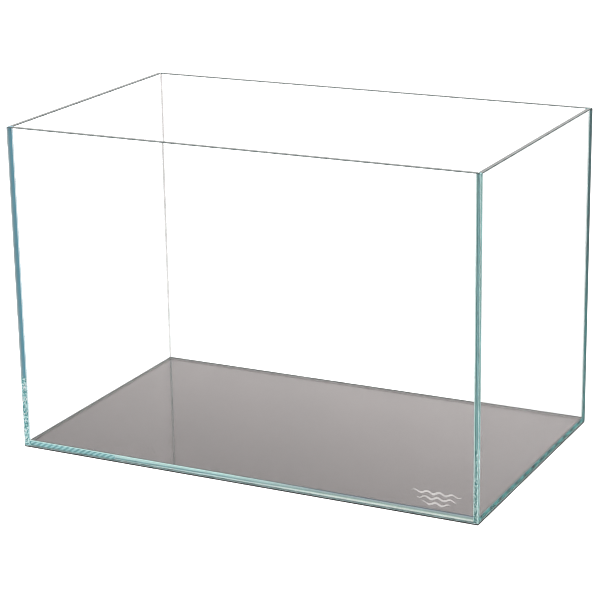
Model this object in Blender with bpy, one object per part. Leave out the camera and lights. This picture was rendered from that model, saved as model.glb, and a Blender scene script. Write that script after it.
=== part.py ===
"""Rimless glass aquarium tank on a thin levelling mat.

Four glass walls with mitred upright edges stand around a glass base panel.
Clear silicone joins the mitres and the base, with a small bead in every inside corner.
The tank stands loose on a foam mat of the same footprint.
Units are metres, +Z is up, the front faces -Y, and the origin is under the middle of the mat.
"""

import math

import bmesh
import bpy
from mathutils import Matrix, Vector

# Overall sizes
LENGTH = 0.600
DEPTH = 0.360
WALL_HEIGHT = 0.400

# Sheet thicknesses
WALL = 0.006
BASE = 0.006
MAT = 0.0012

# Fits and edges
CLEARANCE = 0.0003
JOINT = 0.0012
ARRIS = 0.0006
BEAD = 0.0015
BEAD_STEPS = 5
MAT_CORNER = 0.002
MAT_CORNER_STEPS = 4

# Levels
WALL_BOTTOM = MAT + CLEARANCE
RIM = WALL_BOTTOM + WALL_HEIGHT
FLOOR = WALL_BOTTOM + BASE
CORNER_BEAD_BOTTOM = FLOOR + CLEARANCE + BEAD + CLEARANCE
SEAM_TOP = RIM - ARRIS

# Half widths of the outside, and of the space between the walls
HALF_X = LENGTH / 2
HALF_Y = DEPTH / 2
INNER_X = HALF_X - WALL
INNER_Y = HALF_Y - WALL

GLASS = {"colour": (0.80, 0.93, 0.93, 0.35), "roughness": 0.02}
SILICONE = {"colour": (0.72, 0.84, 0.84, 0.60), "roughness": 0.25}
FOAM = {"colour": (0.045, 0.042, 0.043, 1.0), "roughness": 0.90}


def clear_scene():
    for obj in list(bpy.data.objects):
        bpy.data.objects.remove(obj, do_unlink=True)


def make_material(name, look):
    material = bpy.data.materials.new(name)
    material.use_nodes = True
    shader = material.node_tree.nodes["Principled BSDF"]
    shader.inputs["Base Color"].default_value = look["colour"]
    shader.inputs["Roughness"].default_value = look["roughness"]
    shader.inputs["Metallic"].default_value = 0.0
    shader.inputs["Alpha"].default_value = look["colour"][3]
    return material


def add_object(name, mesh_builder, look, place=None):
    """Links a bmesh as an object, with its origin at the middle of its shape."""
    mesh = bpy.data.meshes.new(name)
    bmesh.ops.recalc_face_normals(mesh_builder, faces=mesh_builder.faces)
    middle = sum((v.co for v in mesh_builder.verts), Vector()) / len(mesh_builder.verts)
    bmesh.ops.translate(mesh_builder, verts=mesh_builder.verts, vec=-middle)
    mesh_builder.to_mesh(mesh)
    mesh_builder.free()
    mesh.materials.append(make_material(name + "_material", look))
    obj = bpy.data.objects.new(name, mesh)
    bpy.context.collection.objects.link(obj)
    obj.matrix_world = (place or Matrix.Identity(4)) @ Matrix.Translation(middle)
    return obj


def prism(low_ring, high_ring):
    """A closed solid between two rings of the same number of points."""
    builder = bmesh.new()
    low = [builder.verts.new(p) for p in low_ring]
    high = [builder.verts.new(p) for p in high_ring]
    builder.faces.new(reversed(low))
    builder.faces.new(high)
    count = len(low)
    for i in range(count):
        j = (i + 1) % count
        builder.faces.new((low[i], low[j], high[j], high[i]))
    return builder


def upright_prism(outline, bottom, top):
    low = [(x, y, bottom) for x, y in outline]
    high = [(x, y, top) for x, y in outline]
    return prism(low, high)


def grind_edges(builder, width):
    """Takes the sharp edges off a sheet of glass."""
    bmesh.ops.bevel(
        builder,
        geom=list(builder.edges),
        offset=width,
        offset_type="OFFSET",
        segments=1,
        affect="EDGES",
        clamp_overlap=True,
    )


def side_place(turns):
    """The turn that carries something modelled at the front to another side."""
    return Matrix.Rotation(turns * math.pi / 2, 4, "Z")


def wall_panel(name, turns, half_run, half_other):
    """A wall whose upright ends are cut at 45 degrees, modelled as the front wall."""
    cut = JOINT / math.sqrt(2)
    outer = half_run - cut
    inner = half_run - WALL - cut
    outline = (
        (-outer, -half_other),
        (outer, -half_other),
        (inner, -half_other + WALL),
        (-inner, -half_other + WALL),
    )
    builder = upright_prism(outline, WALL_BOTTOM, RIM)
    grind_edges(builder, ARRIS)
    return add_object(name, builder, GLASS, side_place(turns))


def base_panel():
    half_x = INNER_X - JOINT
    half_y = INNER_Y - JOINT
    outline = ((-half_x, -half_y), (half_x, -half_y), (half_x, half_y), (-half_x, half_y))
    builder = upright_prism(outline, WALL_BOTTOM, FLOOR)
    grind_edges(builder, ARRIS)
    return add_object("base_glass_panel", builder, GLASS)


def bead_curve(radius):
    """Points of a hollow quarter round, from (radius, 0) to (0, radius)."""
    points = []
    for step in range(BEAD_STEPS + 1):
        angle = step / BEAD_STEPS * math.pi / 2
        points.append((radius * (1 - math.sin(angle)), radius * (1 - math.cos(angle))))
    return points


def base_seam(name, turns, half_run, half_other):
    """Silicone between one edge of the base and its wall, with its inside bead.

    It is modelled along the front wall. Its ends are cut at 45 degrees to meet its neighbours.
    """
    bead_level = FLOOR + CLEARANCE
    section = [
        (CLEARANCE, WALL_BOTTOM + CLEARANCE),
        (JOINT - CLEARANCE, WALL_BOTTOM + CLEARANCE),
        (JOINT - CLEARANCE, bead_level),
    ]
    for across, up in bead_curve(BEAD):
        section.append((CLEARANCE + across + JOINT * (across / BEAD), bead_level + up))
    end_clearance = CLEARANCE / math.sqrt(2)
    left, right = [], []
    for inward, level in section:
        y = -half_other + inward
        x = half_run - inward - end_clearance
        left.append((-x, y, level))
        right.append((x, y, level))
    return add_object(name, prism(left, right), SILICONE, side_place(turns))


def corner_seam(name, x_sign, y_sign):
    """Silicone in one mitre, with its inside bead above the base seams' beads.

    The section is laid out on the corner's diagonal: "along" runs from the outside corner
    towards the middle of the tank, and "across" runs through the joint's thickness.
    """
    half_layer = JOINT / 2 - CLEARANCE
    root_two = math.sqrt(2)
    inner_corner = WALL * root_two
    layer_start = ARRIS * root_two
    layer_end = inner_corner - CLEARANCE
    bead_root = inner_corner + CLEARANCE * root_two
    layer = [
        (layer_end, half_layer),
        (layer_start, half_layer),
        (layer_start, -half_layer),
        (layer_end, -half_layer),
    ]
    bead = [(bead_root + half_layer, -half_layer)]
    for a, b in reversed(bead_curve(BEAD)):
        bead.append((bead_root + (a + b) / root_two, (a - b) / root_two))
    bead.append((bead_root + half_layer, half_layer))

    builder = bmesh.new()

    def ring(points, level):
        corners = []
        for along, across in points:
            x = HALF_X - (along - across) / root_two
            y = HALF_Y - (along + across) / root_two
            corners.append(builder.verts.new((x_sign * x, y_sign * y, level)))
        return corners

    def sides(low, high):
        for i in range(len(low)):
            j = (i + 1) % len(low)
            builder.faces.new((low[i], low[j], high[j], high[i]))

    layer_foot = ring(layer, WALL_BOTTOM + CLEARANCE)
    layer_ledge = ring(layer, CORNER_BEAD_BOTTOM)
    bead_ledge = ring(bead, CORNER_BEAD_BOTTOM)
    top = ring(layer + bead, SEAM_TOP)
    sides(layer_foot, layer_ledge)
    sides(layer_ledge + bead_ledge, top)
    builder.faces.new(layer_foot)
    builder.faces.new([layer_ledge[-1], *bead_ledge, layer_ledge[0]])
    builder.faces.new(top)
    return add_object(name, builder, SILICONE)


def levelling_mat():
    """A flat foam sheet with slightly rounded corners."""
    outline = []
    corners = ((1, 1), (-1, 1), (-1, -1), (1, -1))
    for quarter, (x_sign, y_sign) in enumerate(corners):
        for step in range(MAT_CORNER_STEPS + 1):
            angle = (quarter + step / MAT_CORNER_STEPS) * math.pi / 2
            x = x_sign * (HALF_X - MAT_CORNER) + MAT_CORNER * math.cos(angle)
            y = y_sign * (HALF_Y - MAT_CORNER) + MAT_CORNER * math.sin(angle)
            outline.append((x, y))
    return add_object("leveling_mat", upright_prism(outline, 0.0, MAT), FOAM)


def main():
    clear_scene()
    sides = (
        ("front", 0, HALF_X, HALF_Y),
        ("right", 1, HALF_Y, HALF_X),
        ("back", 2, HALF_X, HALF_Y),
        ("left", 3, HALF_Y, HALF_X),
    )
    for side, turns, half_run, half_other in sides:
        wall_panel(side + "_glass_panel", turns, half_run, half_other)
        base_seam("base_seam_" + side, turns, half_run - WALL, half_other - WALL)
    base_panel()
    for y_name, y_sign in (("front", -1), ("back", 1)):
        for x_name, x_sign in (("left", -1), ("right", 1)):
            corner_seam(f"corner_seam_{y_name}_{x_name}", x_sign, y_sign)
    levelling_mat()


main()
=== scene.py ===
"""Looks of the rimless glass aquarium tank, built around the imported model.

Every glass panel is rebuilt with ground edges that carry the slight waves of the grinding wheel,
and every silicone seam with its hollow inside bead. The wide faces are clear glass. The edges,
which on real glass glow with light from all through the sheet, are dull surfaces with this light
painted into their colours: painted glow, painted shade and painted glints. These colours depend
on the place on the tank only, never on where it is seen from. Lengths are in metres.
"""

import math

import bmesh
import bpy
from mathutils import Matrix, Vector, noise


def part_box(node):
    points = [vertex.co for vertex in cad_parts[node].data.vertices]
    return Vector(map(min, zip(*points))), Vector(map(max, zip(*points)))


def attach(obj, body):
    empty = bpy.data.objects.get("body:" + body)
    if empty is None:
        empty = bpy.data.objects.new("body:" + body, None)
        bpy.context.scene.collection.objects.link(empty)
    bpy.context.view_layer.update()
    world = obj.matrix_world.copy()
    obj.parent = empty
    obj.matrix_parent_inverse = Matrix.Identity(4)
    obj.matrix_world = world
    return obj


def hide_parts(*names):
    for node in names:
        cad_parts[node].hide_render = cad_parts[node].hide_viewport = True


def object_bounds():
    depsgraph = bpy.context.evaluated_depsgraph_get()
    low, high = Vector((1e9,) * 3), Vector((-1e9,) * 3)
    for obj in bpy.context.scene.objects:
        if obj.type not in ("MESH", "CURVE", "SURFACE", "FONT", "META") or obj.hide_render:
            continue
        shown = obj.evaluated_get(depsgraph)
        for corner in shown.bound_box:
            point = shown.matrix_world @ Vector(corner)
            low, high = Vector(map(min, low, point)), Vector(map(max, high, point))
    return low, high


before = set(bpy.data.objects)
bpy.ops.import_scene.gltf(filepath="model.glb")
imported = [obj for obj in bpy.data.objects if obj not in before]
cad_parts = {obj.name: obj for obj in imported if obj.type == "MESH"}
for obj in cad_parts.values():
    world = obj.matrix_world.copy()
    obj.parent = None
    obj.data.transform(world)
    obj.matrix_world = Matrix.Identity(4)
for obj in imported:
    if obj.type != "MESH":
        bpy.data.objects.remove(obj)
cad_low, cad_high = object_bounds()
scene = bpy.context.scene

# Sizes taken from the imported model
front_low, front_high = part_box("front_glass_panel")
base_low, base_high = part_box("base_glass_panel")
_, mat_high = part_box("leveling_mat")
HALF_X = cad_high.x
HALF_Y = cad_high.y
WALL = front_high.y - front_low.y
MITRE_CUT = HALF_X - front_high.x
BOTTOM = base_low.z
FLOOR = base_high.z
RIM = front_high.z
MAT_TOP = mat_high.z
INNER_X = HALF_X - WALL
INNER_Y = HALF_Y - WALL
JOINT = INNER_X - base_high.x

# Edge work on the glass: bevels, and the waves of the grinding wheel
ARRIS = 0.0007
BASE_ARRIS = 0.0003
MITRE_TIP = 0.0004
MITRE_KEPT_BACK = 0.7 * MITRE_TIP
EDGE_STEP = 0.0015
WAVE_LONG = 0.0270
WAVE_SHORT = 0.0072
WAVE_DEPTH = 0.00025
RIM_WAVE_DEPTH = 0.4 * WAVE_DEPTH
WAVE_TAPER = 0.004

# Silicone: overlap with the glass, bead sizes as the photograph suggests, and unevenness
LAP = 0.00004
BEADS = {"front": 0.0018, "right": 0.0013, "back": 0.0007, "left": 0.0005}
CORNER_BEAD = 0.0003
BEAD_STEPS = 6
BEAD_UNEVEN = 0.18
SEAM_STEP = 0.003
SEAM_FOOT = BOTTOM + 0.0002
SEAM_SETBACK = 0.0009
SEAM_DENT = 0.00012

# Mat, with its profile as pairs of inset and share of the thickness
MAT_CORNER = 0.002
MAT_CORNER_STEPS = 4
MAT_STEP = 0.004
MAT_RAGGED = 0.00012
MAT_PROFILE = ((0.0006, 0.0), (0.0001, 0.3), (0.0, 0.55), (0.00015, 0.8), (0.0007, 1.0))

# Mark printed on the front wall
MARK_WIDTH = 0.060
MARK_AT = Vector((0.248, 0.0, 0.0285))
MARK_LINES = 3
MARK_NARROWING = 0.22
MARK_PITCH = 0.0064
MARK_STEP = 0.0006
WAVE_RISE = 0.0014
WAVE_LENGTH = 0.015
HALF_LINE = 0.0013
INK = 0.00005

# Optics: refractive indices, and the tint and strength of the absorption inside each material
GLASS_IOR = 1.52
SILICONE_IOR = 1.41
GLASS_TINT = (0.13, 0.58, 0.57)
GLASS_DENSITY = 3.0
SILICONE_TINT = (0.35, 0.55, 0.52)
SILICONE_DENSITY = 12.0

# Where one colour of painted light or shade turns into another, from and to, along x, y or z
MIDDLE = (-0.05, 0.05)
UNDER_SIDE_WALL = (INNER_X, INNER_X + 0.001)
RIGHT_BEAD_START = (INNER_X - 0.003, INNER_X - 0.001)
BANDS_TURN = (-0.06, 0.16)
BARS_END = (-0.171, -0.174)
PEBBLED_LIGHT_TOP = (0.092, 0.088)
BACK_TEAL_TOP = (0.10, 0.26)
CORNER_PAINTED_SHADE = (0.10, 0.35)

# Painted light patterns in the edges: the bars' pitch, what z or x shifts a pattern by, and its
# unevenness
BAR_PITCH = 0.0077
BAR_LEAN = -1.5
BAR_UNEVEN = 1.6
BLOCK_LEAN = 0.8
BLOCK_UNEVEN = 0.4
BAND_TILT = -0.9
BAND_WANDER = 0.35
BOND_UNEVEN = 0.2
STREAK_SWAY = 0.18
PEBBLED_LIGHT_PER_METRE = (760.0, 760.0, 620.0)

# Studio: the table's glow as it is seen, mirrored and scattered, and the dome's light
TABLE_HALF = 30
TABLE_GAP = 0.0001
TABLE_GREY = (0.10, 0.10, 0.10, 1)
TABLE_SEEN = (1.45, 1.45, 1.45)
TABLE_MIRRORED = (0.17, 0.165, 0.165)
TABLE_SCATTERED = (1.3, 1.3, 1.3)
DOME_COLOUR = (1.0, 0.905, 0.895, 1)
OVERHEAD_HEIGHTS = (0.45, 0.95)
OVERHEAD_STRENGTHS = (0.75, 1.5)
BACKDROP_RIGHTWARD = 3.5
BACKDROP_UPWARD = -7.5
BACKDROP_LEVEL = 5.37
BACKDROP_MOST = 1.60
KEY_FROM = (0.5, -0.87)
KEY_EDGE = (0.2, 0.6)
KEY_STRENGTH = 2.4

# Camera: its place in lengths of the tank, its angles in degrees, and its lens and sensor in mm
CAMERA_PLACE = Vector((1.823, -3.648, 1.550))
CAMERA_YAW = -26.70
CAMERA_PITCH = 17.16
CAMERA_ROLL = -0.98
LENS = 126.09
SENSOR = 36.0

# Rendering
BOUNCES = 64
DULL_BOUNCES = 4
PIXEL_FILTER = 1.1


# ---------------------------------------------------------------- materials
def principled(name):
    """A new material, its node tree and its shader."""
    material = bpy.data.materials.new(name)
    material.use_nodes = True
    return material, material.node_tree, material.node_tree.nodes["Principled BSDF"]


def add_node(tree, kind, settings=None, **inputs):
    """A new node with its own settings, and with constant values on its sockets."""
    node = tree.nodes.new(kind)
    for key, value in (settings or {}).items():
        setattr(node, key, value)
    for key, value in inputs.items():
        node.inputs[key.replace("_", " ")].default_value = value
    return node


def math_node(tree, operation, first, second=0.0):
    """One operation on one or two values, each a number or another node's output."""
    node = add_node(tree, "ShaderNodeMath", {"operation": operation})
    for socket, value in zip(node.inputs, (first, second)):
        if isinstance(value, float):
            socket.default_value = value
        else:
            tree.links.new(value, socket)
    return node.outputs["Value"]


def mix_colours(tree, factor, first, second):
    """The first colour where the factor is 0 and the second where it is 1."""
    mix = add_node(tree, "ShaderNodeMix", {"data_type": "RGBA"})
    tree.links.new(factor, mix.inputs["Factor"])
    for socket, value in zip((mix.inputs["A"], mix.inputs["B"]), (first, second)):
        if isinstance(value, tuple):
            socket.default_value = (*value, 1)
        else:
            tree.links.new(value, socket)
    return mix.outputs["Result"]


def coordinates(tree):
    """The object's own x, y and z."""
    place = add_node(tree, "ShaderNodeTexCoord")
    split = add_node(tree, "ShaderNodeSeparateXYZ")
    tree.links.new(place.outputs["Object"], split.inputs["Vector"])
    return split.outputs["X"], split.outputs["Y"], split.outputs["Z"]


def fade(tree, value, start, stop, kind="SMOOTHSTEP"):
    """Rises from 0 to 1 while the value goes from start to stop."""
    node = add_node(tree, "ShaderNodeMapRange", {"interpolation_type": kind})
    node.inputs["From Min"].default_value = start
    node.inputs["From Max"].default_value = stop
    tree.links.new(value, node.inputs["Value"])
    return node.outputs["Result"]


def colour_scale(tree, factor, stops):
    """Colours at given places between 0 and 1."""
    node = add_node(tree, "ShaderNodeValToRGB")
    elements = node.color_ramp.elements
    elements.remove(elements[1])
    elements[0].position = stops[0][0]
    elements[0].color = (*stops[0][1], 1)
    for position, colour in stops[1:]:
        elements.new(position).color = (*colour, 1)
    tree.links.new(factor, node.inputs["Fac"])
    return node.outputs["Color"]


def noise_field(tree, scale, detail=3.0, roughness=0.5, stretch=(1, 1, 1)):
    """Noise over the object's own coordinates: scale is in waves per metre."""
    place = add_node(tree, "ShaderNodeTexCoord")
    mapping = add_node(tree, "ShaderNodeMapping")
    mapping.inputs["Scale"].default_value = stretch
    field = add_node(tree, "ShaderNodeTexNoise", Scale=scale, Detail=detail, Roughness=roughness)
    tree.links.new(place.outputs["Object"], mapping.inputs["Vector"])
    tree.links.new(mapping.outputs["Vector"], field.inputs["Vector"])
    return field.outputs["Fac"]


def blend_colours(tree, factor, dark, pale, low=0.35, high=0.65):
    """Two colours by a noise field, whose values lie mostly between low and high."""
    ramp = add_node(tree, "ShaderNodeValToRGB")
    ramp.color_ramp.elements[0].position = low
    ramp.color_ramp.elements[0].color = (*dark, 1)
    ramp.color_ramp.elements[1].position = high
    ramp.color_ramp.elements[1].color = (*pale, 1)
    tree.links.new(factor, ramp.inputs["Fac"])
    return ramp.outputs["Color"]


def cells(tree, stretch):
    """Random values, one for each small cell, with cells per metre along x, y and z."""
    place = add_node(tree, "ShaderNodeTexCoord")
    mapping = add_node(tree, "ShaderNodeMapping")
    mapping.inputs["Scale"].default_value = stretch
    field = add_node(tree, "ShaderNodeTexVoronoi", Scale=1.0)
    split = add_node(tree, "ShaderNodeSeparateColor")
    tree.links.new(place.outputs["Object"], mapping.inputs["Vector"])
    tree.links.new(mapping.outputs["Vector"], field.inputs["Vector"])
    tree.links.new(field.outputs["Color"], split.inputs["Color"])
    return split.outputs["Red"]


def map_values(tree, factor, low, high):
    """Stretches 0 to 1 to low to high."""
    spread = add_node(tree, "ShaderNodeMapRange")
    spread.inputs["To Min"].default_value = low
    spread.inputs["To Max"].default_value = high
    tree.links.new(factor, spread.inputs["Value"])
    return spread.outputs["Result"]


def add_bump(tree, shader, height, distance, strength):
    """Gives the surface the fine relief of a height pattern."""
    bump = add_node(tree, "ShaderNodeBump", Strength=strength, Distance=distance)
    tree.links.new(height, bump.inputs["Height"])
    tree.links.new(bump.outputs["Normal"], shader.inputs["Normal"])


def absorb(tree, colour, density):
    """Tints the inside: each metre takes off density times what is missing from the colour."""
    inside = add_node(tree, "ShaderNodeVolumeAbsorption", Color=(*colour, 1), Density=density)
    tree.links.new(inside.outputs["Volume"], tree.nodes["Material Output"].inputs["Volume"])


def polished_glass():
    """The wide faces: clear glass that absorbs a little, with hardly visible smears."""
    material, tree, shader = principled("polished_glass")
    shader.inputs["Transmission Weight"].default_value = 1.0
    shader.inputs["IOR"].default_value = GLASS_IOR
    shader.inputs["Roughness"].default_value = 0.0
    smears = noise_field(tree, 9.0, 5.0, 0.6, (1.0, 1.0, 0.4))
    clean = blend_colours(tree, smears, (0.985, 0.99, 0.99), (1.0, 1.0, 1.0))
    tree.links.new(clean, shader.inputs["Base Color"])
    absorb(tree, GLASS_TINT, GLASS_DENSITY)
    return material


def ground_painted_light(colour, parts, gloss=0.0, rough=0.35):
    """Glass ground dull: it scatters light, in a colour of painted light or shade."""
    material, tree, shader = parts
    shader.inputs["IOR"].default_value = GLASS_IOR
    shader.inputs["Specular IOR Level"].default_value = gloss
    grain = noise_field(tree, 900.0, 3.0, 0.6)
    tree.links.new(map_values(tree, grain, rough - 0.1, rough + 0.1), shader.inputs["Roughness"])
    tree.links.new(colour, shader.inputs["Base Color"])
    return material


def satin_rim_painted_light():
    """The rim, which the grinding wheel left satin, in painted light of a dim grey teal."""
    parts = principled("satin_rim_glass")
    patches = noise_field(parts[1], 60.0, 3.0, 0.5)
    colour = blend_colours(parts[1], patches, (0.120, 0.152, 0.150), (0.168, 0.208, 0.206))
    return ground_painted_light(colour, parts, 0.2)


def dark_arris():
    """The rim's bevels, in painted shade, as they turn the light away."""
    parts = principled("rim_arris_glass")
    patches = noise_field(parts[1], 45.0, 3.0, 0.5)
    colour = blend_colours(parts[1], patches, (0.024, 0.040, 0.040), (0.05, 0.075, 0.075))
    return ground_painted_light(colour, parts)


def ground_foot_painted_glow():
    """The foot, in painted glow that is paler under the side walls."""
    parts = principled("ground_foot_glass")
    tree = parts[1]
    x, _, _ = coordinates(tree)
    chips = noise_field(tree, 170.0, 3.0, 0.6)
    long_foot = blend_colours(tree, chips, (0.26, 0.37, 0.36), (0.46, 0.60, 0.59))
    side_foot = blend_colours(tree, chips, (0.60, 0.80, 0.79), (0.86, 1.0, 0.99))
    is_side = fade(tree, math_node(tree, "ABSOLUTE", x), *UNDER_SIDE_WALL)
    colour = mix_colours(tree, is_side, long_foot, side_foot)
    return ground_painted_light(colour, parts)


def mitre_painted_light():
    """The glued mitre faces, painted light: bluer left, greener right, pebbled near the base."""
    parts = principled("mitre_glass")
    tree = parts[1]
    x, y, z = coordinates(tree)
    from_side = math_node(tree, "SUBTRACT", HALF_X, math_node(tree, "ABSOLUTE", x))
    from_front = math_node(tree, "SUBTRACT", HALF_Y, math_node(tree, "ABSOLUTE", y))
    depth = math_node(tree, "MINIMUM", from_side, from_front)
    depth = math_node(tree, "DIVIDE", depth, WALL)
    streaks = noise_field(tree, 1.0, 3.0, 0.55, (260.0, 260.0, 9.0))
    sway = math_node(tree, "SUBTRACT", streaks, 0.5)
    depth = math_node(tree, "ADD", depth, math_node(tree, "MULTIPLY", sway, STREAK_SWAY))
    left = colour_scale(tree, depth, (
        (0.00, (0.64, 0.72, 0.74)),
        (0.16, (0.42, 0.53, 0.57)),
        (0.30, (0.21, 0.38, 0.44)),
        (0.55, (0.15, 0.38, 0.48)),
        (0.82, (0.14, 0.37, 0.48)),
        (1.00, (0.27, 0.50, 0.60)),
    ))
    right = colour_scale(tree, depth, (
        (0.00, (0.12, 0.27, 0.28)),
        (0.15, (0.10, 0.24, 0.25)),
        (0.24, (0.34, 0.62, 0.64)),
        (0.46, (0.36, 0.62, 0.62)),
        (0.56, (0.13, 0.30, 0.31)),
        (0.68, (0.14, 0.32, 0.32)),
        (0.82, (0.36, 0.58, 0.55)),
    ))
    is_right = fade(tree, x, *MIDDLE)
    plain = mix_colours(tree, is_right, left, right)
    # The back mitres in painted shade: darkest on the left, teal on the right, dimmer higher up.
    is_back = fade(tree, y, *MIDDLE)
    rise = fade(tree, z, *BACK_TEAL_TOP)
    back_right = mix_colours(tree, rise, (0.03, 0.24, 0.24), (0.04, 0.15, 0.155))
    back = mix_colours(tree, is_right, (0.03, 0.09, 0.095), back_right)
    plain = mix_colours(tree, is_back, plain, back)
    # Near the base, pebbled painted light: patches of shade and glow, the palest as white painted
    # glints.
    pebbled_light_cell = cells(tree, PEBBLED_LIGHT_PER_METRE)
    left_pebbled_light = colour_scale(tree, pebbled_light_cell, (
        (0.0, (0.05, 0.26, 0.28)),
        (0.38, (0.22, 0.52, 0.54)),
        (0.65, (0.55, 0.86, 0.87)),
        (1.0, (1.0, 1.0, 1.0)),
    ))
    right_pebbled_light = colour_scale(tree, pebbled_light_cell, (
        (0.0, (0.06, 0.20, 0.20)),
        (0.4, (0.18, 0.38, 0.37)),
        (0.75, (0.40, 0.66, 0.65)),
        (1.0, (0.84, 1.0, 0.98)),
    ))
    pebbled_light = mix_colours(tree, is_right, left_pebbled_light, right_pebbled_light)
    back_pebbled_light = colour_scale(tree, pebbled_light_cell, (
        (0.0, (0.03, 0.16, 0.16)),
        (0.5, (0.06, 0.27, 0.27)),
        (1.0, (0.20, 0.44, 0.44)),
    ))
    pebbled_light = mix_colours(tree, is_back, pebbled_light, back_pebbled_light)
    is_low = fade(tree, z, *PEBBLED_LIGHT_TOP)
    colour = mix_colours(tree, is_low, plain, pebbled_light)
    return ground_painted_light(colour, parts)


def front_edge_painted_light():
    """The base's front and back edges in painted light: long bands, short bars near the left end.
    """
    parts = principled("base_long_edge_glass")
    tree = parts[1]
    x, _, z = coordinates(tree)
    height = math_node(tree, "DIVIDE", math_node(tree, "SUBTRACT", z, BOTTOM), FLOOR - BOTTOM)
    wander = noise_field(tree, 1.0, 2.0, 0.5, (9.0, 9.0, 60.0))
    wander = math_node(tree, "SUBTRACT", wander, 0.5)
    wander = math_node(tree, "MULTIPLY", wander, BAND_WANDER)
    tilt = math_node(tree, "MULTIPLY", x, BAND_TILT)
    banded = math_node(tree, "ADD", math_node(tree, "ADD", height, wander), tilt)
    left = colour_scale(tree, banded, (
        (0.02, (0.50, 0.78, 0.77)),
        (0.14, (0.84, 1.00, 1.00)),
        (0.26, (0.84, 1.00, 1.00)),
        (0.39, (0.17, 0.36, 0.38)),
        (0.52, (0.24, 0.46, 0.48)),
        (0.74, (0.56, 0.80, 0.80)),
        (1.00, (0.58, 0.80, 0.79)),
    ))
    right = colour_scale(tree, height, (
        (0.00, (0.84, 0.94, 0.92)),
        (0.10, (0.92, 1.00, 0.98)),
        (0.32, (0.92, 1.00, 0.94)),
        (0.45, (0.52, 0.68, 0.62)),
        (0.60, (0.30, 0.42, 0.40)),
        (0.80, (0.38, 0.48, 0.50)),
        (0.98, (0.44, 0.54, 0.60)),
    ))
    bands = mix_colours(tree, fade(tree, x, *BANDS_TURN), left, right)
    slant = math_node(tree, "ADD", x, math_node(tree, "MULTIPLY", z, BAR_LEAN))
    stripe = math_node(tree, "MULTIPLY", slant, 2 * math.pi / BAR_PITCH)
    stripe = math_node(tree, "SINE", stripe)
    uneven = noise_field(tree, 220.0, 2.0, 0.5)
    stripe = math_node(tree, "ADD", stripe, math_node(tree, "MULTIPLY", uneven, BAR_UNEVEN))
    bars = colour_scale(tree, fade(tree, stripe, -0.5, 1.9), (
        (0.0, (0.17, 0.42, 0.46)),
        (0.45, (0.30, 0.58, 0.61)),
        (1.0, (0.47, 0.78, 0.80)),
    ))
    has_bars = fade(tree, x, *BARS_END)
    colour = mix_colours(tree, has_bars, bands, bars)
    return ground_painted_light(colour, parts)


def side_edge_painted_light():
    """The base's short edges in painted dark teal light, with blocks as long as the wheel's
    scallops.
    """
    parts = principled("base_short_edge_glass")
    tree = parts[1]
    x, y, z = coordinates(tree)
    height = math_node(tree, "DIVIDE", math_node(tree, "SUBTRACT", z, BOTTOM), FLOOR - BOTTOM)
    slant = math_node(tree, "ADD", y, math_node(tree, "MULTIPLY", z, BLOCK_LEAN))
    turn = math_node(tree, "MULTIPLY", slant, 1 / WAVE_LONG)
    block = math_node(tree, "FRACT", turn)
    uneven = noise_field(tree, 260.0, 3.0, 0.6)
    uneven = math_node(tree, "SUBTRACT", uneven, 0.5)
    uneven = math_node(tree, "MULTIPLY", uneven, BLOCK_UNEVEN)
    block = math_node(tree, "ADD", block, uneven)
    blocks = colour_scale(tree, block, (
        (0.00, (0.02, 0.20, 0.20)),
        (0.40, (0.04, 0.27, 0.26)),
        (0.55, (0.09, 0.38, 0.37)),
        (0.80, (0.11, 0.42, 0.41)),
        (0.95, (0.04, 0.26, 0.26)),
    ))
    # A painted dark notch of shade at each block's start, and a painted pale glow along the bottom.
    block_start = fade(tree, block, 0.24, 0.18)
    notch_shade = math_node(tree, "MULTIPLY", block_start, fade(tree, height, 0.30, 0.42))
    blocks = mix_colours(tree, notch_shade, blocks, (0.0, 0.07, 0.08))
    lower = fade(tree, height, 0.16, 0.04)
    colour = mix_colours(tree, lower, blocks, (0.46, 0.66, 0.66))
    # The left short edge is painted in a plain grey light.
    inner = mix_colours(tree, fade(tree, x, *MIDDLE), (0.36, 0.47, 0.43), colour)
    return ground_painted_light(inner, parts)


def back_edge_painted_light():
    """The base's back edge, in painted grey light."""
    parts = principled("base_back_edge_glass")
    chips = noise_field(parts[1], 120.0, 3.0, 0.6)
    colour = blend_colours(parts[1], chips, (0.34, 0.39, 0.38), (0.44, 0.49, 0.48))
    return ground_painted_light(colour, parts)


def bead_bond():
    """A base bead bonded to the wall, in painted light: pale below, dark along its upper edge."""
    parts = principled("bead_bond_silicone")
    tree = parts[1]
    x, _, z = coordinates(tree)
    uneven = noise_field(tree, 90.0, 2.0, 0.5)
    level = math_node(tree, "SUBTRACT", z, FLOOR)
    level = math_node(tree, "DIVIDE", level, BEADS["front"])
    level = math_node(tree, "ADD", level, math_node(tree, "MULTIPLY", uneven, BOND_UNEVEN))
    left = colour_scale(tree, level, (
        (0.10, (0.74, 0.96, 0.94)),
        (0.58, (0.62, 0.82, 0.80)),
        (0.78, (0.07, 0.12, 0.11)),
        (1.00, (0.12, 0.16, 0.15)),
    ))
    right = colour_scale(tree, level, (
        (0.10, (0.34, 0.41, 0.44)),
        (0.40, (0.17, 0.21, 0.25)),
        (0.70, (0.14, 0.17, 0.20)),
        (1.00, (0.20, 0.22, 0.24)),
    ))
    side = colour_scale(tree, level, (
        (0.10, (0.20, 0.29, 0.31)),
        (0.45, (0.34, 0.42, 0.45)),
        (0.65, (0.26, 0.29, 0.32)),
    ))
    colour = mix_colours(tree, fade(tree, x, *BANDS_TURN), left, right)
    colour = mix_colours(tree, fade(tree, x, *RIGHT_BEAD_START), colour, side)
    return ground_painted_light(colour, parts)


def bead_face():
    """The hollow face of a base bead, in mottled painted shade."""
    parts = principled("bead_face_silicone")
    cloud = noise_field(parts[1], 140.0, 3.0, 0.5)
    colour = blend_colours(parts[1], cloud, (0.035, 0.045, 0.043), (0.07, 0.085, 0.082))
    return ground_painted_light(colour, parts, 0.2)


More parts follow.
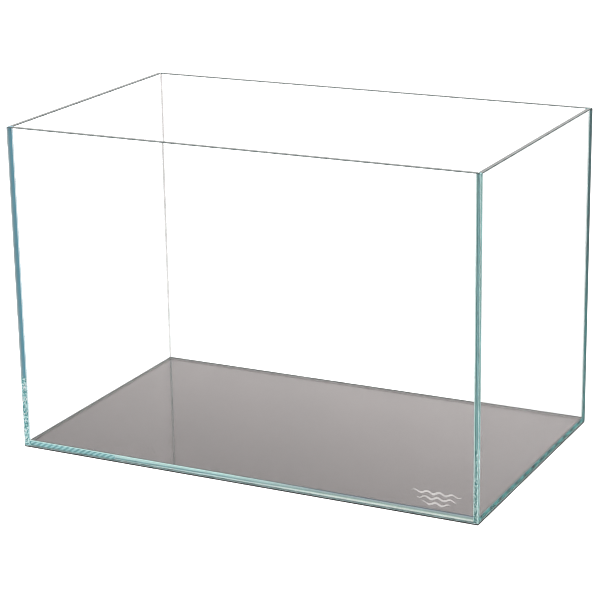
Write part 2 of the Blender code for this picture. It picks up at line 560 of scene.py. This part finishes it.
def corner_bond():
    """A corner bead bonded to the walls, in painted light: greener on the right, dark in one
    corner.
    """
    parts = principled("corner_bond_silicone")
    tree = parts[1]
    x, y, _ = coordinates(tree)
    streaks = noise_field(tree, 1.0, 3.0, 0.55, (260.0, 260.0, 40.0))
    left = blend_colours(tree, streaks, (0.62, 0.84, 0.90), (0.90, 1.0, 1.0))
    right = blend_colours(tree, streaks, (0.70, 0.92, 0.90), (0.86, 1.0, 0.98))
    colour = mix_colours(tree, fade(tree, x, *MIDDLE), left, right)
    # Painted shade in the back right corner.
    dark = blend_colours(tree, streaks, (0.04, 0.17, 0.18), (0.09, 0.27, 0.28))
    is_back_right = math_node(tree, "MULTIPLY", fade(tree, x, *MIDDLE), fade(tree, y, *MIDDLE))
    colour = mix_colours(tree, is_back_right, colour, dark)
    return ground_painted_light(colour, parts)


def corner_face():
    """A corner bead's hollow face in painted light: shade on the left, paler and greener right."""
    parts = principled("corner_face_silicone")
    tree = parts[1]
    x, _, z = coordinates(tree)
    cloud = noise_field(tree, 90.0, 3.0, 0.5)
    # On the left, painted shade that deepens higher up.
    lower = blend_colours(tree, cloud, (0.36, 0.375, 0.37), (0.46, 0.48, 0.48))
    upper = blend_colours(tree, cloud, (0.30, 0.31, 0.31), (0.38, 0.39, 0.39))
    left = mix_colours(tree, fade(tree, z, *CORNER_PAINTED_SHADE), lower, upper)
    right = blend_colours(tree, cloud, (0.52, 0.66, 0.66), (0.64, 0.79, 0.78))
    colour = mix_colours(tree, fade(tree, x, *MIDDLE), left, right)
    return ground_painted_light(colour, parts, 0.2)


def clear_silicone():
    """The thin layer in the joints."""
    material, tree, shader = principled("clear_silicone")
    shader.inputs["Transmission Weight"].default_value = 1.0
    shader.inputs["IOR"].default_value = SILICONE_IOR
    cloud = noise_field(tree, 140.0, 3.0, 0.5)
    shader.inputs["Roughness"].default_value = 0.0
    tint = blend_colours(tree, cloud, (0.90, 0.94, 0.93), (0.98, 1.0, 0.99))
    tree.links.new(tint, shader.inputs["Base Color"])
    absorb(tree, SILICONE_TINT, SILICONE_DENSITY)
    return material


def foam():
    """Dark closed-cell foam with a fine grain."""
    material, tree, shader = principled("foam_mat")
    grain = noise_field(tree, 900.0, 4.0, 0.65)
    colour = blend_colours(tree, grain, (0.008, 0.008, 0.008), (0.018, 0.017, 0.017))
    tree.links.new(colour, shader.inputs["Base Color"])
    wear = noise_field(tree, 30.0, 3.0, 0.5)
    tree.links.new(map_values(tree, wear, 0.78, 0.96), shader.inputs["Roughness"])
    add_bump(tree, shader, grain, 0.0002, 0.6)
    return material


def white_print():
    """The mark's white ink."""
    material, tree, shader = principled("white_print")
    ink = noise_field(tree, 1500.0, 3.0, 0.6)
    colour = blend_colours(tree, ink, (0.28, 0.285, 0.28), (0.38, 0.38, 0.375))
    tree.links.new(colour, shader.inputs["Base Color"])
    tree.links.new(map_values(tree, ink, 0.45, 0.65), shader.inputs["Roughness"])
    add_bump(tree, shader, ink, 0.00002, 0.3)
    return material


# ---------------------------------------------------------------- mesh helpers
def finish_piece(name, builder, materials, body, slot, *nodes):
    """Turns a bmesh into a piece that rides on a body and stands for CAD nodes."""
    mesh = bpy.data.meshes.new(name)
    bmesh.ops.recalc_face_normals(builder, faces=builder.faces)
    builder.to_mesh(mesh)
    builder.free()
    for material in materials:
        mesh.materials.append(material)
    piece = bpy.data.objects.new(name, mesh)
    scene.collection.objects.link(piece)
    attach(piece, body)
    if nodes:
        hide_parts(*nodes)
    return piece


def wheel_wave(along, phase):
    """Height of the marks that a grinding wheel leaves, from 0 to 1: long scallops, short waves."""
    scallop = 1.0 - abs(math.sin(math.pi * along / WAVE_LONG + phase))
    short_wave = 0.5 - 0.5 * math.cos(2 * math.pi * along / WAVE_SHORT + 2.1 * phase)
    drift = noise.noise(Vector((along * 25.0, phase, 0.0)))
    return 0.60 * scallop + 0.30 * short_wave + 0.10 * (0.5 + drift)


def loft(builder, rings, material_of=None):
    """Joins rings of the same number of points with quads, and returns the rings of vertices."""
    loops = [[builder.verts.new(point) for point in ring] for ring in rings]
    count = len(loops[0])
    for low, high in zip(loops, loops[1:]):
        for i in range(count):
            j = (i + 1) % count
            face = builder.faces.new((low[i], low[j], high[j], high[i]))
            if material_of:
                face.material_index = material_of[i]
    return loops


def turned(builder, turns):
    """Turns everything from the front side to another, in quarter turns."""
    matrix = Matrix.Rotation(turns * math.pi / 2, 4, "Z")
    bmesh.ops.transform(builder, matrix=matrix, verts=builder.verts)


def stations(length, step):
    """Shares of a length from 0 to 1, about a step apart."""
    count = max(2, round(length / step))
    return [i / count for i in range(count + 1)]


# Name, quarter turns from the front, half its length, and how far out it stands
SIDES = (
    ("front", 0, HALF_X, HALF_Y),
    ("right", 1, HALF_Y, HALF_X),
    ("back", 2, HALF_X, HALF_Y),
    ("left", 3, HALF_Y, HALF_X),
)
# Places in the lists of materials of the walls, the base and the seams
POLISHED, RIM_GROUND, FOOT_GROUND, RIM_ARRIS, MITRE = 0, 1, 2, 3, 4
BASE_FRONT, BASE_SIDE, BASE_BACK = 1, 2, 3
SEAM, BEAD_BOND, BEAD_FACE = 0, 1, 2


# ---------------------------------------------------------------- glass
def glass_wall(side, turns, half_run, half_other, materials):
    """One wall, modelled as the front one: polished faces, ground rim and foot, mitred ends."""
    end = half_run - MITRE_CUT

    def section(share):
        """Points round the wall, from outside to inside and up: how far in, and how high."""
        along = share * half_run
        foot = BOTTOM + WAVE_DEPTH * wheel_wave(along + 0.4 * turns, 1.3 + turns)
        top = RIM - RIM_WAVE_DEPTH * wheel_wave(along, 4.1 + turns)
        arris = ARRIS * (0.8 + 0.4 * wheel_wave(along, 2.7 + turns))
        return (
            (0.0, foot + arris),
            (arris, foot),
            (WALL - arris, foot),
            (WALL, foot + arris),
            (WALL, top - arris),
            (WALL - arris, top),
            (arris, top),
            (0.0, top - arris),
        )

    def ring(share, pull):
        """The section at a share of the wall's length, from -1 to 1, pulled back from the end."""
        points = []
        for inward, level in section(share):
            run = share * (end - inward) - math.copysign(pull, share)
            points.append((run, inward - half_other, level))
        return points

    def cap(share):
        """The mitre's own outline, a little smaller than the section before it."""
        points = []
        for inward, level in section(share):
            kept = min(max(inward, MITRE_KEPT_BACK), WALL - MITRE_KEPT_BACK)
            level = min(max(level, BOTTOM + ARRIS), RIM - ARRIS)
            points.append((share * (end - kept), kept - half_other, level))
        return points

    builder = bmesh.new()
    shares = [2 * s - 1 for s in stations(2 * half_run, EDGE_STEP)]
    rings = [cap(-1)] + [ring(s, MITRE_TIP if abs(s) == 1 else 0.0) for s in shares] + [cap(1)]
    material_of = (
        FOOT_GROUND, FOOT_GROUND, FOOT_GROUND, POLISHED, RIM_ARRIS, RIM_GROUND, RIM_ARRIS, POLISHED
    )
    loops = loft(builder, rings, material_of)
    for loop in (loops[0], loops[-1]):
        builder.faces.new(loop)
        for vertex in loop:
            for face in vertex.link_faces:
                face.material_index = MITRE
    turned(builder, turns)
    finish_piece(
        side + "_wall_glass", builder, materials, "tank", "low_iron_glass", side + "_glass_panel"
    )


def base_edge_wave(turns, along):
    """How far the base's edge stands back from its straight line."""
    depth = WAVE_DEPTH * (2.0 if turns % 2 else 0.5)
    return depth * wheel_wave(along, 0.6 + 1.9 * turns)


def base_outline(inset):
    """The base's outline, with every edge's waves, as points in order round the tank."""
    points = []
    for _, turns, half_run, half_other in SIDES:
        half_run = half_run - WALL - JOINT
        half_other = half_other - WALL - JOINT
        turn = Matrix.Rotation(turns * math.pi / 2, 3, "Z")
        for share in stations(2 * half_run, EDGE_STEP)[:-1]:
            along = (2 * share - 1) * half_run
            taper = min(1.0, (half_run - abs(along)) / WAVE_TAPER)
            back = taper * base_edge_wave(turns, along) + inset
            reach = (2 * share - 1) * (half_run - inset)
            points.append(turn @ Vector((reach, back - half_other, 0.0)))
    return points


def base_glass(materials):
    """The base, with small arrises round both faces."""
    builder = bmesh.new()
    rings = []
    levels = (
        (BASE_ARRIS, BOTTOM),
        (0.0, BOTTOM + BASE_ARRIS),
        (0.0, FLOOR - BASE_ARRIS),
        (BASE_ARRIS, FLOOR),
    )
    for inset, level in levels:
        rings.append([point + Vector((0, 0, level)) for point in base_outline(inset)])
    loops = loft(builder, rings)
    for loop in (loops[0], loops[-1]):
        builder.faces.new(loop)
    edge_of = {"front": BASE_FRONT, "right": BASE_SIDE, "back": BASE_BACK, "left": BASE_SIDE}
    for face in builder.faces:
        if abs(face.normal.z) < 0.9 and len(face.verts) == 4:
            middle = face.calc_center_median()
            lengthwise = HALF_Y - abs(middle.y) < HALF_X - abs(middle.x)
            if lengthwise:
                side = "front" if middle.y < 0 else "back"
            else:
                side = "left" if middle.x < 0 else "right"
            face.material_index = edge_of[side]
    finish_piece("base_glass", builder, materials, "tank", "low_iron_glass", "base_glass_panel")


# ---------------------------------------------------------------- silicone
def hollow(radius):
    """Points of a hollow quarter round from (radius, 0) to (0, radius)."""
    points = []
    for step in range(BEAD_STEPS + 1):
        angle = step / BEAD_STEPS * math.pi / 2
        points.append((radius * (1 - math.sin(angle)), radius * (1 - math.cos(angle))))
    return points


def bead_radius(size, along, seed):
    """The bead's size where a finger smoothed it, a little uneven."""
    return size * (1.0 + BEAD_UNEVEN * noise.noise(Vector((along * 40.0, seed, 3.0))))


def base_silicone(side, turns, half_run, half_other, materials):
    """The seam between one edge of the base and its wall."""
    half_run = half_run - WALL
    half_other = half_other - WALL
    base_run = half_run - JOINT

    def ring(share):
        """The seam and its bead at a share of the length, from -1 to 1."""
        along = share * half_run
        radius = bead_radius(BEADS[side], along, 11.0 + turns)
        taper = min(1.0, max(0.0, (base_run - abs(along)) / WAVE_TAPER))
        edge = JOINT + LAP + taper * base_edge_wave(turns, along)
        section = [(-LAP, SEAM_FOOT), (edge, SEAM_FOOT), (edge, FLOOR - LAP)]
        for across, up in hollow(radius):
            inward = across + (edge - LAP) * across / radius - LAP * (1 - across / radius)
            section.append((inward, FLOOR - LAP + up))
        section.append((-LAP, FLOOR))
        points = []
        for inward, level in section:
            points.append((share * (half_run - max(inward, 0.0)), inward - half_other, level))
        return points

    builder = bmesh.new()
    rings = [ring(2 * s - 1) for s in stations(2 * half_run, EDGE_STEP)]
    material_of = [SEAM] * 3 + [BEAD_FACE] * BEAD_STEPS + [BEAD_BOND, SEAM]
    loops = loft(builder, rings, material_of)
    for loop in (loops[0], loops[-1]):
        builder.faces.new(loop)
    turned(builder, turns)
    name = "base_seam_" + side
    finish_piece(name + "_silicone", builder, materials, "tank", "clear_silicone", name)


def corner_silicone(y_name, y_sign, x_name, x_sign, materials):
    """The seam in one mitre. A point is given by how far it lies inside the two outer faces."""
    seed = 30.0 + 2 * y_sign + x_sign
    half_gap = MITRE_CUT / 2 - LAP
    inner = WALL - LAP
    clear_of_base = FLOOR + max(BEADS.values())

    def ring(level):
        """The seam and its bead at one height."""
        radius = bead_radius(CORNER_BEAD, level, seed) if level > clear_of_base else 0.0
        dent = SEAM_DENT * noise.noise(Vector((level * 160.0, seed, 7.0)))
        start = SEAM_SETBACK + dent
        side_a = [(start - half_gap, start + half_gap), (inner - 2 * half_gap, inner)]
        side_b = [(inner, inner - 2 * half_gap), (start + half_gap, start - half_gap)]
        bead = []
        for a, b in hollow(radius + 2 * half_gap):
            bead.append((inner + b, inner + a))
        outline = side_a + bead + side_b
        points = []
        for p, q in outline:
            points.append((x_sign * (HALF_X - p), y_sign * (HALF_Y - q), level))
        return points

    builder = bmesh.new()
    run = RIM - ARRIS - SEAM_FOOT
    rings = [ring(SEAM_FOOT + run * s) for s in stations(run, SEAM_STEP)]
    material_of = [SEAM, BEAD_BOND] + [BEAD_FACE] * BEAD_STEPS + [BEAD_BOND, SEAM, SEAM]
    loops = loft(builder, rings, material_of)
    for loop in (loops[0], loops[-1]):
        builder.faces.new(loop)
    name = f"corner_seam_{y_name}_{x_name}"
    finish_piece(name + "_silicone", builder, materials, "tank", "clear_silicone", name)


# ---------------------------------------------------------------- mat and mark
def foam_sheet(material):
    """The mat: its cut edge bulges a little under the tank's weight."""

    def outline(inset):
        """Points in order round the mat, this far inside its cut edge."""
        points = []
        for _, turns, half_run, half_other in SIDES:
            turn = Matrix.Rotation(turns * math.pi / 2, 3, "Z")
            straight = half_run - MAT_CORNER
            for share in stations(2 * straight, MAT_STEP)[:-1]:
                along = (2 * share - 1) * straight
                unevenness = 0.5 + noise.noise(Vector((along * 60, 5.0 * turns, 1.0)))
                back = max(0.0, MAT_RAGGED * unevenness) + inset
                points.append(turn @ Vector((along, back - half_other, 0.0)))
            middle = Vector((straight, MAT_CORNER - half_other, 0.0))
            for step in range(MAT_CORNER_STEPS):
                angle = -math.pi / 2 + step / MAT_CORNER_STEPS * math.pi / 2
                arm = Vector((math.cos(angle), math.sin(angle), 0.0)) * (MAT_CORNER - inset)
                points.append(turn @ (middle + arm))
        return points

    builder = bmesh.new()
    rings = []
    for inset, share in MAT_PROFILE:
        rings.append([p + Vector((0, 0, MAT_TOP * share)) for p in outline(inset)])
    loops = loft(builder, rings)
    for loop in (loops[0], loops[-1]):
        builder.faces.new(loop)
    piece = finish_piece("foam_mat", builder, [material], "mat", "foam_mat", "leveling_mat")


def printed_waves(material):
    """A plain mark of three wave lines, printed on the inside of the front wall."""
    near = -INNER_Y + INK
    far = near + INK
    for row in range(MARK_LINES):
        builder = bmesh.new()
        rings = []
        half_width = MARK_WIDTH / 2 * (1.0 - MARK_NARROWING * row)
        for share in stations(2 * half_width, MARK_STEP):
            run = (2 * share - 1) * half_width
            rise = WAVE_RISE * math.sin(2 * math.pi * run / WAVE_LENGTH + row)
            half_line = HALF_LINE * math.sin(math.pi * min(max(share, 0.04), 0.96)) ** 0.5
            x = MARK_AT.x + run
            z = MARK_AT.z - MARK_PITCH * row + rise
            rings.append((
                (x, far, z - half_line),
                (x, far, z + half_line),
                (x, near, z + half_line),
                (x, near, z - half_line),
            ))
        loops = loft(builder, rings)
        for loop in (loops[0], loops[-1]):
            builder.faces.new(loop)
        finish_piece(f"printed_wave_{row + 1}", builder, [material], "tank", None)


# ---------------------------------------------------------------- studio
def table_glow(tree):
    """The table's own light.

    Seen directly or straight through glass it is an even white. In mirrored light it is dimmer,
    as if the room beyond the lit table showed in the glass.
    """
    path = add_node(tree, "ShaderNodeLightPath")
    is_mirrored = math_node(tree, "MINIMUM", path.outputs["Glossy Depth"], 1.0)
    is_scattered = math_node(tree, "MINIMUM", path.outputs["Diffuse Depth"], 1.0)
    seen = mix_colours(tree, is_mirrored, TABLE_SEEN, TABLE_MIRRORED)
    return mix_colours(tree, is_scattered, seen, TABLE_SCATTERED)


def studio_floor():
    """A pale table lit from inside, as is used for photographing glass."""
    material, tree, shader = principled("studio_table")
    shader.inputs["Base Color"].default_value = TABLE_GREY
    shader.inputs["Roughness"].default_value = 1.0
    shader.inputs["Specular IOR Level"].default_value = 0.0
    shader.inputs["Emission Strength"].default_value = 1.0
    tree.links.new(table_glow(tree), shader.inputs["Emission Color"])
    builder = bmesh.new()
    bmesh.ops.create_grid(builder, x_segments=1, y_segments=1, size=TABLE_HALF)
    mesh = bpy.data.meshes.new("studio_table")
    builder.to_mesh(mesh)
    builder.free()
    mesh.materials.append(material)
    floor = bpy.data.objects.new("studio_table", mesh)
    floor.location.z = -TABLE_GAP
    scene.collection.objects.link(floor)


def studio_light():
    """A soft dome: bright overhead, and brightest low down behind the tank on the right.

    A key light on the front side falls on dull surfaces only, so that the glass doesn't mirror it.
    """
    world = bpy.data.worlds.new("studio_dome")
    world.use_nodes = True
    tree = world.node_tree
    scene.world = world
    direction = add_node(tree, "ShaderNodeTexCoord")
    split = add_node(tree, "ShaderNodeSeparateXYZ")
    tree.links.new(direction.outputs["Generated"], split.inputs["Vector"])
    x, y, z = split.outputs["X"], split.outputs["Y"], split.outputs["Z"]
    overhead = map_values(tree, fade(tree, z, *OVERHEAD_HEIGHTS, "LINEAR"), *OVERHEAD_STRENGTHS)
    rightward = math_node(tree, "MULTIPLY", x, BACKDROP_RIGHTWARD)
    upward = math_node(tree, "MULTIPLY", z, BACKDROP_UPWARD)
    backdrop = math_node(tree, "ADD", rightward, upward)
    backdrop = math_node(tree, "ADD", backdrop, BACKDROP_LEVEL)
    backdrop = math_node(tree, "MINIMUM", backdrop, BACKDROP_MOST)
    strength = math_node(tree, "MAXIMUM", backdrop, overhead)
    sideways = math_node(tree, "MULTIPLY", x, KEY_FROM[0])
    forwards = math_node(tree, "MULTIPLY", y, KEY_FROM[1])
    facing = math_node(tree, "ADD", sideways, forwards)
    path = add_node(tree, "ShaderNodeLightPath")
    scattered = math_node(tree, "MINIMUM", path.outputs["Diffuse Depth"], 1.0)
    key = math_node(tree, "MULTIPLY", fade(tree, facing, *KEY_EDGE), scattered)
    key = math_node(tree, "MULTIPLY", key, KEY_STRENGTH)
    strength = math_node(tree, "ADD", strength, key)
    background = tree.nodes["Background"]
    background.inputs["Color"].default_value = DOME_COLOUR
    tree.links.new(strength, background.inputs["Strength"])


def camera():
    """The camera, fitted to the tank's edges in the photograph."""
    place = CAMERA_PLACE * 2 * HALF_X
    yaw = math.radians(CAMERA_YAW)
    pitch = math.radians(CAMERA_PITCH)
    roll = math.radians(CAMERA_ROLL)
    ahead = Vector((
        math.sin(yaw) * math.cos(pitch),
        math.cos(yaw) * math.cos(pitch),
        -math.sin(pitch),
    ))
    level_right = Vector((math.cos(yaw), -math.sin(yaw), 0.0))
    level_up = level_right.cross(ahead)
    right = math.cos(roll) * level_right + math.sin(roll) * level_up
    up = math.cos(roll) * level_up - math.sin(roll) * level_right
    data = bpy.data.cameras.new("camera")
    data.sensor_width = SENSOR
    data.lens = LENS
    eye = bpy.data.objects.new("camera", data)
    scene.collection.objects.link(eye)
    eye.matrix_world = Matrix((
        (right.x, up.x, -ahead.x, place.x),
        (right.y, up.y, -ahead.y, place.y),
        (right.z, up.z, -ahead.z, place.z),
        (0.0, 0.0, 0.0, 1.0),
    ))
    scene.camera = eye


def light_paths():
    """Enough bounces to see through every wall, seam and inner reflection."""
    scene.view_settings.view_transform = "Standard"
    scene.view_settings.look = "None"
    scene.cycles.max_bounces = BOUNCES
    scene.cycles.glossy_bounces = BOUNCES
    scene.cycles.transmission_bounces = BOUNCES
    scene.cycles.diffuse_bounces = DULL_BOUNCES
    scene.cycles.caustics_reflective = True
    scene.cycles.caustics_refractive = True
    scene.cycles.blur_glossy = 0.0
    scene.cycles.filter_width = PIXEL_FILTER


def main():
    """Makes the studio, then every material and piece."""
    light_paths()
    camera()
    studio_floor()
    studio_light()
    polished = polished_glass()
    wall_glass = [polished, satin_rim_painted_light(), ground_foot_painted_glow(), dark_arris(), mitre_painted_light()]
    edge_glass = [polished, front_edge_painted_light(), side_edge_painted_light(), back_edge_painted_light()]
    silicone = clear_silicone()
    base_beads = [silicone, bead_bond(), bead_face()]
    corner_beads = [silicone, corner_bond(), corner_face()]
    for side, turns, half_run, half_other in SIDES:
        glass_wall(side, turns, half_run, half_other, wall_glass)
        base_silicone(side, turns, half_run, half_other, base_beads)
    base_glass(edge_glass)
    for y_name, y_sign in (("front", -1), ("back", 1)):
        for x_name, x_sign in (("left", -1), ("right", 1)):
            corner_silicone(y_name, y_sign, x_name, x_sign, corner_beads)
    foam_sheet(foam())
    printed_waves(white_print())


main()
